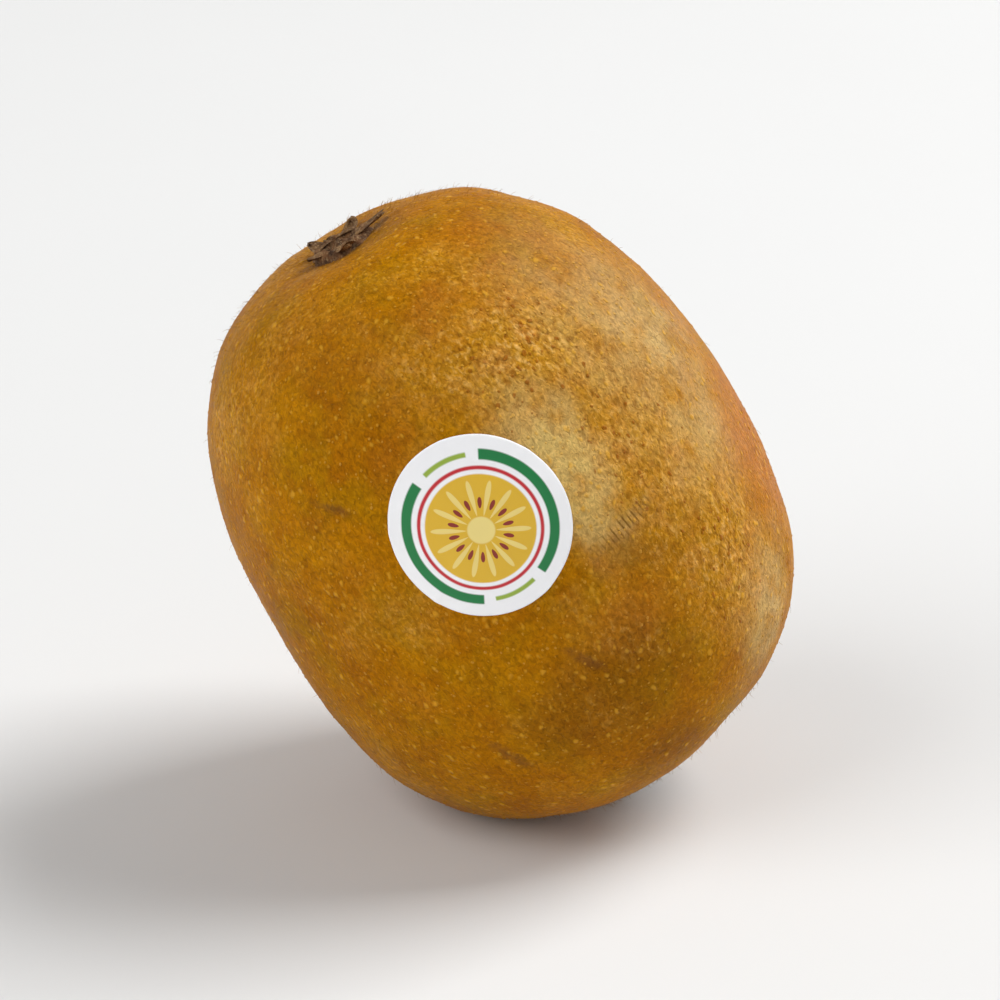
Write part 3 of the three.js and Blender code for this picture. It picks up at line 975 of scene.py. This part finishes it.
def make_disc():
    """The corky disc that the styles grow from: a low, lumpy button."""
    turn = round_turns(DISC_COLUMNS)[None, :]
    out = np.linspace(0, 1, DISC_ROWS + 1)[1:, None]
    distance = out * DISC_RADIUS * (1 + 0.05 * np.sin(5 * turn))
    height = DISC_HEIGHT * (1 - out**4) - 0.1 * out**4
    flat = flat_map(distance, turn)
    height = height + (0.2 * ripple(flat, 1.1, 21) + 0.06 * ripple(flat, 0.4, 22)) * (1 - out**4)
    over = over_skin(BLOSSOM_END, distance, turn, height)
    under = over_skin(BLOSSOM_END, distance[-1:] * 0.9, turn, np.full((1, 1), -ROOT_DEPTH))
    top, bottom = over_skin(BLOSSOM_END, 0, 0, np.array([DISC_HEIGHT, -ROOT_DEPTH]))
    return closed_grid("blossom_disc", stand(np.concatenate([over, under])),
                       stand(top), stand(bottom))


disc = make_disc()
disc_cork = dry_material("corky_disc_tissue", "#2f1c10", "#5d3d22", "#8b6a45",
                         grain_size=0.3, roughness=0.85)
finish_piece(disc, disc_cork, "style_remnant")

# %% Blossom end: threads
THREAD_SHAKE, THREAD_CURL = (-0.4, 0.4), (-0.2, 0.7)  # shares of the spacing, and mm


def splayed(count, seed, roots, lengths, arch, twist, steps):
    """Middle lines of threads that leave a ring and arch outwards, as (threads, steps, 3). With
    the share s of its length, a thread's height is a half plus an arch of sin(0.8 pi s) and a
    curl of s^3, and it turns aside by a random twist times s^1.5."""
    random = np.random.default_rng(seed)
    share = np.linspace(0, 1, steps)[None, :]
    turn = (np.arange(count) + random.uniform(*THREAD_SHAKE, count)) / count * 2 * np.pi
    turn = turn[:, None] + random.normal(0, twist, (count, 1)) * share**1.5
    turn = turn + 0.1 * np.sin(random.uniform(4, 9, (count, 1)) * share)
    root = random.uniform(*roots, (count, 1))
    length = random.uniform(*lengths, (count, 1))
    rise_by = random.uniform(*arch, (count, 1))
    curl = random.uniform(*THREAD_CURL, (count, 1))
    height = 0.5 + rise_by * np.sin(np.pi * share * 0.8) + curl * share**3
    return over_skin(BLOSSOM_END, root + length * share, turn, height)


def thread_piece(name, middles, radii, sides):
    """Splayed threads as one mesh, with the blossom end's outward direction as up."""
    up = np.broadcast_to(BLOSSOM_END, middles.shape)
    grids, first, last = tubes(middles, radii, up, sides)
    return closed_grids(name, stand(grids), stand(first), stand(last))


brush = stand(over_skin(BLOSSOM_END, 3, 0, 0.5))
print("3 mm from the blossom end, the brush is near", brush.round(4), "m")

# %% Blossom end: styles
# Lengths, radii and heights are in mm. Pairs are the least and the most that a draw may give.
STYLES, STYLE_SEED = 38, 7
STYLE_ROOTS, STYLE_LENGTHS, STYLE_ARCH = (0.5, 1.6), (2.5, 3.9), (0.4, 1.1)
STYLE_TWIST = 0.3  # radians, as a spread
STYLE_RADIUS = 0.2
STYLE_STEPS, STYLE_SIDES = 14, 7


def make_styles():
    """Styles that taper from the root and swell again at the tip."""
    middles = splayed(STYLES, STYLE_SEED, STYLE_ROOTS, STYLE_LENGTHS, STYLE_ARCH, STYLE_TWIST,
                      STYLE_STEPS)
    share = np.linspace(0, 1, STYLE_STEPS)[None, :]
    radii = STYLE_RADIUS * (1.25 - 0.55 * share + 0.35 * bell(share - 0.95, 0.09))
    return thread_piece("dried_styles", middles, np.repeat(radii, STYLES, axis=0), STYLE_SIDES)


styles = make_styles()
style_threads = dry_material("dried_style_threads", "#24160d", "#4a2f1b", "#7d5c3c",
                             grain_size=0.4, roughness=0.7)
finish_piece(styles, style_threads, "style_remnant")

# %% Blossom end: stamens
STAMENS, STAMEN_SEED = 130, 8
STAMEN_ROOTS, STAMEN_LENGTHS, STAMEN_ARCH = (2.0, 2.9), (1.2, 2.9), (0.1, 0.9)
STAMEN_TWIST = 0.5
STAMEN_RADIUS = 0.05
STAMEN_STEPS, STAMEN_SIDES = 6, 4


def make_stamens():
    """Finer threads in a ring round the styles, with fewer steps and sides, as they are many."""
    middles = splayed(STAMENS, STAMEN_SEED, STAMEN_ROOTS, STAMEN_LENGTHS, STAMEN_ARCH, STAMEN_TWIST,
                      STAMEN_STEPS)
    share = np.linspace(0, 1, STAMEN_STEPS)[None, :]
    radii = np.repeat(STAMEN_RADIUS * (1.1 - 0.7 * share), STAMENS, axis=0)
    return thread_piece("dried_stamens", middles, radii, STAMEN_SIDES)


stamens = make_stamens()
stamen_threads = dry_material("dried_stamen_threads", "#5a3c1e", "#8a6537", "#b08a55",
                              grain_size=0.4, roughness=0.75)
finish_piece(stamens, stamen_threads, "style_remnant")

# %% [markdown]
# ## The sticker
#
# A fruit sticker is a thin disc of printed film, cut round, stuck on by machine. Film doesn't
# stretch over a double curve, so its edge lifts in a few tiny wrinkles. It is a closed grid:
# rows out over the top, round a slightly rounded edge and back under. The print is plain rings
# round a fruit slice, worked out from the sticker's own UV map by radius and angle, so it
# stays sharp at any size.

# %% Sticker
STICKER_RADIUS = 9.1  # mm, as are the film's and the wrinkles' heights
STICKER_DOWN, STICKER_AROUND = 76, -85.8
FILM_THICKNESS, FILM_GAP, EDGE_LIFT = 0.09, 0.02, 0.03
STICKER_ROWS, STICKER_COLUMNS = 44, 160
WRINKLES, WRINKLE_HEIGHT, WRINKLE_SEED = 6, 0.16, 3


def film_lift(out, turn):
    """Height of the film's underside: nearly flat, with narrow wrinkles that grow to the edge."""
    random = np.random.default_rng(WRINKLE_SEED)
    lift = FILM_GAP + EDGE_LIFT * smoothstep(out, 0.9, 1)
    for place, width, size in zip(random.uniform(0, 2 * np.pi, WRINKLES),
                                  random.uniform(0.05, 0.11, WRINKLES),
                                  random.uniform(0.4, 1, WRINKLES)):
        apart = np.angle(np.exp(1j * (turn - place)))
        lift = lift + WRINKLE_HEIGHT * size * smoothstep(out, 0.72, 1.02) * bell(apart, width)
    return lift


def make_sticker():
    """Top rows, an edge, and under rows back to the middle, with a UV map that is the disc
    seen from above."""
    middle = towards(STICKER_DOWN, STICKER_AROUND)
    turn = round_turns(STICKER_COLUMNS)[None, :]
    out = np.linspace(0, 1, STICKER_ROWS + 1)[1:]
    out = np.concatenate([out[:-1], [0.998, 1, 0.998], out[-2::-4]])[:, None]
    top = np.zeros(len(out))
    top[:STICKER_ROWS] = 1
    top[STICKER_ROWS] = 0.5
    height = film_lift(out, turn) + FILM_THICKNESS * top[:, None]
    grid = over_skin(middle, out * STICKER_RADIUS, turn, height)
    ends = over_skin(middle, 0, 0, FILM_GAP + np.array([FILM_THICKNESS, 0]))
    piece = closed_grid("sticker", stand(grid), *stand(ends))
    flat = 0.5 + flat_map(out / 2, turn)[..., :2].reshape(-1, 2)
    flat = np.concatenate([flat, [[0.5, 0.5], [0.5, 0.5]]])
    corners = np.empty(len(piece.data.loops), dtype=np.int32)
    piece.data.loops.foreach_get("vertex_index", corners)
    layer = piece.data.uv_layers.new(name="disc")
    layer.data.foreach_set("uv", flat[corners].astype(np.float32).ravel())
    return piece


sticker = make_sticker()

# %% [markdown]
# ## The sticker's print
#
# The film is white polyethylene with a semi-gloss lacquer over the inks, so the eye gets a
# softened highlight over clean, flat colours. An image would blur close up. Here every ring,
# ray and seed is a formula of the radius and the angle that the UV map gives, so it stays
# sharp. A very low, fine unevenness keeps the highlight from being perfect.

# %% Sticker print: bands and petals
PRINT_EDGE = 0.008  # of the sticker's radius
PETAL_INSIDE, PETAL_OUTSIDE = 0.92, 1.08  # where a petal's soft edge starts and ends, round 1


def band(tree, value, middle, half_width):
    """A mask that is 1 where a value is within half_width of a middle, with a crisp edge."""
    apart = add(tree, "Math", 0, {0: value, 1: middle}, operation="SUBTRACT")
    apart = add(tree, "Math", 0, {0: apart}, operation="ABSOLUTE")
    return add(tree, "MapRange", 0, {"Value": apart, "From Min": half_width + PRINT_EDGE,
                                     "From Max": half_width - PRINT_EDGE})


def petals(tree, out, rays, side, middle, half_length):
    """Rounded marks in a ring, where the wave `rays` is near side: a mark ends where
    ((out - middle) / half_length)^2 + 2 (1 - side rays) reaches 1."""
    apart = add(tree, "Math", 0, {0: out, 1: middle}, operation="SUBTRACT")
    apart = add(tree, "Math", 0, {0: apart, 1: half_length}, operation="DIVIDE")
    apart = add(tree, "Math", 0, {0: apart, 1: apart}, operation="MULTIPLY")
    sideways = add(tree, "Math", 0, {0: rays, 1: -2 * side, 2: 2}, operation="MULTIPLY_ADD")
    edge = add(tree, "Math", 0, {0: apart, 1: sideways}, operation="ADD")
    return add(tree, "MapRange", 0, {"Value": edge, "From Min": PETAL_OUTSIDE,
                                     "From Max": PETAL_INSIDE})


print("a printed edge is", round(2 * PRINT_EDGE * STICKER_RADIUS, 2), "mm soft")

# %% Sticker print: the inks
PAPER_WHITE = "#fafafc"
PRINT_GREEN = "#0b7a3e"
PRINT_LEAF = "#97b13c"
PRINT_RED = "#c8202b"
PRINT_GOLD = "#e3b52a"
PRINT_PALE = "#f3dc86"
PRINT_SEED = "#8d2a1c"
# Lengths on the print are shares of the sticker's radius.
OUTER_RING, GREEN_HALF_WIDTH, LEAF_HALF_WIDTH = 0.8, 0.055, 0.025
GREEN_REACH, LEAF_REACH = 0.55, 0.3  # of sideways / radius, round the sides and round the middle
RED_RING, RED_HALF_WIDTH = 0.665, 0.02
SLICE_RADIUS, SLICE_CORE_RADIUS = 0.6, 0.15
RAY_MIDDLE, RAY_HALF_LENGTH = 0.35, 0.19
SEED_MIDDLE, SEED_HALF_LENGTH = 0.3, 0.06
SEEDS_PRINTED = 14
FILM_RELIEF = 0.02  # mm


def sticker_material():
    """Semi-gloss film, white, with rings, arcs and a fruit slice printed by radius and angle."""
    material, tree = new_material("printed_sticker_film")
    flat = add(tree, "VectorMath", 0, {0: add(tree, "TexCoord", "UV"), 1: (2, 2, 0),
                                       2: (-1, -1, 0)}, operation="MULTIPLY_ADD")
    out = add(tree, "VectorMath", "Value", {0: flat}, operation="LENGTH")
    across = add(tree, "SeparateXYZ", "X", {0: flat})
    turn = add(tree, "Math", 0, {0: across.node.outputs["Y"], 1: across}, operation="ARCTAN2")

    sideways = add(tree, "Math", 0, {0: across, 1: out}, operation="DIVIDE")
    rays = add(tree, "Math", 0, {0: turn, 1: SEEDS_PRINTED}, operation="MULTIPLY")
    rays = add(tree, "Math", 0, {0: rays}, operation="COSINE")

    at_sides = add(tree, "Math", 0, {0: band(tree, sideways, 1, GREEN_REACH),
                                     1: band(tree, sideways, -1, GREEN_REACH)},
                   operation="MAXIMUM")
    green = add(tree, "Math", 0, {0: band(tree, out, OUTER_RING, GREEN_HALF_WIDTH),
                                  1: at_sides}, operation="MULTIPLY")
    leaf = add(tree, "Math", 0, {0: band(tree, out, OUTER_RING, LEAF_HALF_WIDTH),
                                 1: band(tree, sideways, 0, LEAF_REACH)}, operation="MULTIPLY")
    inks = [  # mask, colour, opacity
        (green, PRINT_GREEN, 1),
        (leaf, PRINT_LEAF, 1),
        (band(tree, out, RED_RING, RED_HALF_WIDTH), PRINT_RED, 1),
        (band(tree, out, 0, SLICE_RADIUS), PRINT_GOLD, 1),
        (petals(tree, out, rays, 1, RAY_MIDDLE, RAY_HALF_LENGTH), PRINT_PALE, 0.85),
        (petals(tree, out, rays, -1, SEED_MIDDLE, SEED_HALF_LENGTH), PRINT_SEED, 1),
        (band(tree, out, 0, SLICE_CORE_RADIUS), PRINT_PALE, 1),
    ]
    colour = linear(PAPER_WHITE)
    for mask, hex_colour, opacity in inks:
        colour = paint(tree, colour, mask, hex_colour, opacity)

    fibre = add(tree, "TexNoise", 0, {"Vector": own_place(tree), "Scale": 2.5, "Detail": 3})
    bump = add(tree, "Bump", 0, {"Height": fibre, "Distance": FILM_RELIEF * MM})
    gloss = add(tree, "MapRange", 0, {"Value": fibre, "To Min": 0.34, "To Max": 0.46})
    surface = add(tree, "BsdfPrincipled", 0, {"Base Color": colour, "Roughness": gloss,
                                              "Normal": bump, "IOR": 1.5})
    add(tree, "OutputMaterial", None, {"Surface": surface})
    return material


finish_piece(sticker, sticker_material(), "label")

# %% [markdown]
# ## Corky specks
#
# Some specks of cork stand far enough out of the skin to catch the light and to be felt, so they
# are real domes. There are thousands, so each has only two rows of six points. A Fibonacci
# spiral spreads them evenly, which random places wouldn't, and each is then moved a little.

# %% Specks
SPECKS, SPECK_SEED = 5200, 4
SPECK_RADII, SPECK_HEIGHTS = (0.09, 0.22), (0.02, 0.06)  # mm
SPECK_SIDES, SPECK_LENGTHENING = 6, 1.35
SPECK_SCATTER = 0.02  # radians, about half a millimetre
RING_WIDTHS, RING_HEIGHTS = [1, 0.66], [-0.02, 0.75]  # shares, for the lower and the upper ring
SPECK_SUNK, SPECK_ROOT = 0.01, 0.04  # mm under the skin
GOLDEN_ANGLE = math.pi * (3 - math.sqrt(5))


def off_sticker(directions):
    """Which directions miss the sticker."""
    middle = towards(STICKER_DOWN, STICKER_AROUND)
    apart = np.arccos(np.clip(directions @ middle, -1, 1))
    return apart > 1.04 * STICKER_RADIUS / reach(middle)


def make_specks():
    """Places on a spiral, and round each a dome: a ring sunk in the skin, one above it and a
    point on top. The domes are longer along the fruit."""
    random = np.random.default_rng(SPECK_SEED)
    number = np.arange(SPECKS)
    z = 1 - (2 * number + 1) / SPECKS
    turn = number * GOLDEN_ANGLE
    flat = np.sqrt(1 - z**2)
    out = np.stack([flat * np.cos(turn), flat * np.sin(turn), z], axis=-1)
    out = unit(out + random.normal(0, SPECK_SCATTER, out.shape))
    out = out[off_sticker(out)][:, None, None]
    count = len(out)
    along = unit(BLOSSOM_END - out * (out @ BLOSSOM_END)[..., None] + 1e-6)
    across = np.cross(out, along)
    radius = random.uniform(0, 1, (count, 1, 1, 1)) ** 2 * np.ptp(SPECK_RADII) + SPECK_RADII[0]
    height = random.uniform(*SPECK_HEIGHTS, (count, 1, 1, 1))
    ring = round_turns(SPECK_SIDES)[None, None, :, None]
    wide = np.array(RING_WIDTHS)[None, :, None, None] * radius
    high = np.array(RING_HEIGHTS)[None, :, None, None] * height - SPECK_SUNK
    middle = fine_skin(out)
    grids = (middle + out * high + along * np.cos(ring) * wide * SPECK_LENGTHENING
             + across * np.sin(ring) * wide)
    tops = (middle + out * height)[:, 0, 0]
    bottoms = (middle - out * SPECK_ROOT)[:, 0, 0]
    return closed_grids("corky_specks", settle(stand(grids[:, ::-1])), settle(stand(tops)),
                        settle(stand(bottoms)))


specks = make_specks()

# %% [markdown]
# ## The specks' material
#
# A speck is cork that has burst the cuticle. It is as matt as the skin or more so, and a plain
# pale colour would make it stand out like a grain of sand where the skin is dark. So it starts
# from the skin's colour at that place, painted highlight and painted shade included, and has
# gold and a little tan over it.

# %% Specks: the material
SPECK_CLOUDS = 0.8, 14, 0.4, 0.7  # as for the skin
SPECK_GRAIN, SPECK_RELIEF = 0.3, 0.05  # mm


def speck_material():
    """Cork in the cuticle: the skin's colour there, gold over it, and tan in an uneven share."""
    material, tree = new_material("corky_speck")
    # The skin's colour here carries its painted highlight and painted shade.
    own, _, _, colour = plain_skin(tree)
    colour = paint(tree, colour, 1, FLECK_GOLD, 0.3)
    colour = paint(tree, colour, patches(tree, own, *SPECK_CLOUDS), CORK_TAN, 0.12)
    grain = add(tree, "TexNoise", 0, {"Vector": own, "Scale": 1 / SPECK_GRAIN, "Detail": 2})
    bump = add(tree, "Bump", 0, {"Height": grain, "Distance": SPECK_RELIEF * MM})
    surface = add(tree, "BsdfPrincipled", 0, {"Base Color": colour, "Roughness": 0.6,
                                              "Normal": bump, "IOR": 1.5,
                                              "Specular IOR Level": 0.06})
    add(tree, "OutputMaterial", None, {"Surface": surface})
    return material


finish_piece(specks, speck_material())

# %% [markdown]
# ## Down
#
# Golden kiwis are nearly bald, but some short, stiff down is left where nothing rubs it off:
# round the stalk's hollow and the blossom end. Blender's hair curves would be lost in the
# export, so each hair is a three-sided tube that leans towards the blossom end. It is a little
# thicker than a real one, which would be too fine to show against the floor.

# %% Hairs
HAIRS, HAIR_SEED = 3400, 5
HAIR_LENGTHS = (0.3, 0.85)  # mm, as is all below
HAIR_RADIUS, HAIR_ROOT = 0.02, 0.06
HAIR_STEPS, HAIR_SIDES = 5, 3
DOWN_GRAIN = 3


def hair_directions(random):
    """Random directions, kept with a chance that has a bell at each end, and is low between."""
    directions = unit(random.normal(size=(HAIRS * 12, 3)))
    z = directions[:, 2]
    chance = 0.05 + bell(1 - z, 0.12) * 0.9 + bell(1 + z, 0.14)
    kept = (random.uniform(size=len(z)) < chance) & off_sticker(directions)
    return directions[kept][:HAIRS]


def make_hairs():
    """Root points under the skin, a lean towards the blossom end and a slight curve. With the
    share s of its length, a hair goes 0.75 s - 0.25 s^2 of it outwards and 0.2 s + 0.6 s^2
    along its lean."""
    random = np.random.default_rng(HAIR_SEED)
    out = hair_directions(random)
    count = len(out)
    share = np.linspace(0, 1, HAIR_STEPS)[None, :, None]
    lean = unit(BLOSSOM_END - out * (out @ BLOSSOM_END)[:, None] + 1e-6)
    lean = unit(lean + random.normal(0, 0.5, (count, 3)))
    length = random.uniform(*HAIR_LENGTHS, (count, 1, 1))
    root = fine_skin(out)[:, None] - HAIR_ROOT * out[:, None]
    middles = root + length * (out[:, None] * (0.75 * share - 0.25 * share**2)
                               + lean[:, None] * (0.2 * share + 0.6 * share**2))
    radii = np.repeat(HAIR_RADIUS * (1.1 - 0.8 * share[..., 0]), count, axis=0)
    up = np.repeat(out[:, None], HAIR_STEPS, axis=1)
    grids, first, last = tubes(middles, radii, up, HAIR_SIDES)
    return closed_grids("skin_down", settle(stand(grids)), settle(stand(first)),
                        settle(stand(last)))


hairs = make_hairs()
down_fibre = dry_material("kiwi_down", "#7a4f14", "#a4721f", "#bf9040",
                          grain_size=DOWN_GRAIN, roughness=0.6, shine=0.1)
finish_piece(hairs, down_fibre)

# %% [markdown]
# ## Floor, light and camera
#
# A pale floor and large soft lights show the shape and the satin skin. The brightest light is
# a big soft panel on the right and behind, so it grazes the upper right flank, where every
# pore shows, and the lower left falls into soft shade.

# %% Floor
FLOOR_HALF = 1.6  # metres
BOARD_GREY, BOARD_WHITE = "#dbdbda", "#dfdfde"


def floor_material():
    """Matt painted board: an even, soft ground for the shadow, with hardly any variation."""
    material, tree = new_material("matt_white_board")
    place = add(tree, "TexCoord", "Object")
    cloud = add(tree, "TexNoise", 0, {"Vector": place, "Scale": 6, "Detail": 3})
    shade = add(tree, "Mix", "Result", {"Factor": cloud, "A": linear(BOARD_GREY),
                                        "B": linear(BOARD_WHITE)}, data_type="RGBA")
    surface = add(tree, "BsdfPrincipled", 0, {"Base Color": shade, "Roughness": 0.8})
    add(tree, "OutputMaterial", None, {"Surface": surface})
    return material


corners = np.array([[-1, -1, 0], [1, -1, 0], [1, 1, 0], [-1, 1, 0]]) * FLOOR_HALF
floor = mesh_object("floor", corners, quads=[[0, 1, 2, 3]])
floor.data.materials.append(floor_material())
print("the floor is", 2 * FLOOR_HALF, "m wide")


# %% Lights
WALL_BRIGHTNESS, CEILING_BRIGHTNESS = 0.8, 0.2
CEILING_FROM = 0.7  # how far up the sky goes on getting darker, of 1
LIGHTS = [  # name, azimuth and elevation in degrees, distance and size in m, brightness
    ("key_panel", 112, 50, 2, 1.1, 0.98),
    ("rim_panel", 135, 6, 2, 1.2, 0.22),
    ("front_fill", -60, 40, 2, 1.5, 0.525),
]


def facing(azimuth, elevation):
    """A direction from the fruit: azimuth in degrees from the camera's side towards the right,
    and elevation over the floor."""
    around, up = math.radians(azimuth), math.radians(elevation)
    return Vector((math.sin(around) * math.cos(up), -math.cos(around) * math.cos(up),
                   math.sin(up)))


def soft_light(name, azimuth, elevation, distance, size, brightness):
    """A square white panel that looks at the fruit. A brightness of 1 makes white card that faces
    it come out as 1 in the render: that takes pi squared times the distance squared watts."""
    data = bpy.data.lights.new(name, "AREA")
    data.size = size
    data.energy = brightness * (math.pi * distance) ** 2
    light = bpy.data.objects.new(name, data)
    back = facing(azimuth, elevation)
    light.location = Vector(CENTRE * MM) + back * distance
    light.rotation_euler = back.to_track_quat("Z", "Y").to_euler()
    bpy.context.scene.collection.objects.link(light)
    print(name, "gives", round(data.energy, 1), "W")


for light in LIGHTS:
    soft_light(*light)

world = bpy.data.worlds.new("pale_room")
world.use_nodes = True
sky = world.node_tree
direction = add(sky, "SeparateXYZ", "Z", {0: add(sky, "TexCoord", "Generated")})
brightness = add(sky, "MapRange", 0, {"Value": direction, "From Max": CEILING_FROM,
                                      "To Min": WALL_BRIGHTNESS, "To Max": CEILING_BRIGHTNESS})
backdrop = sky.nodes["Background"]
backdrop.inputs["Color"].default_value = linear("#f8f8f9")
sky.links.new(brightness, backdrop.inputs["Strength"])
bpy.context.scene.world = world
bpy.context.scene.view_settings.view_transform = "Standard"

# %% Camera
VIEW_ELEVATION = 22.3
VIEW_DISTANCE = 334.6
AIM_RIGHT, AIM_UP = 0.26, -0.34  # how far the aim is off the fruit's middle
SENSOR, FOCAL_LENGTH = 36, 113.76  # mm, as are all the lengths here

back = facing(0, VIEW_ELEVATION)
camera = bpy.data.objects.new("camera", bpy.data.cameras.new("camera"))
camera.data.sensor_width, camera.data.lens = SENSOR, FOCAL_LENGTH
camera.data.clip_start = 0.01
camera.rotation_euler = back.to_track_quat("Z", "Y").to_euler()
aim = Vector(CENTRE) + camera.rotation_euler.to_matrix() @ Vector((AIM_RIGHT, AIM_UP, 0))
camera.location = (aim + back * VIEW_DISTANCE) * MM
bpy.context.scene.collection.objects.link(camera)
bpy.context.scene.camera = camera
print("the camera stands at", np.round(camera.location, 3), "m")
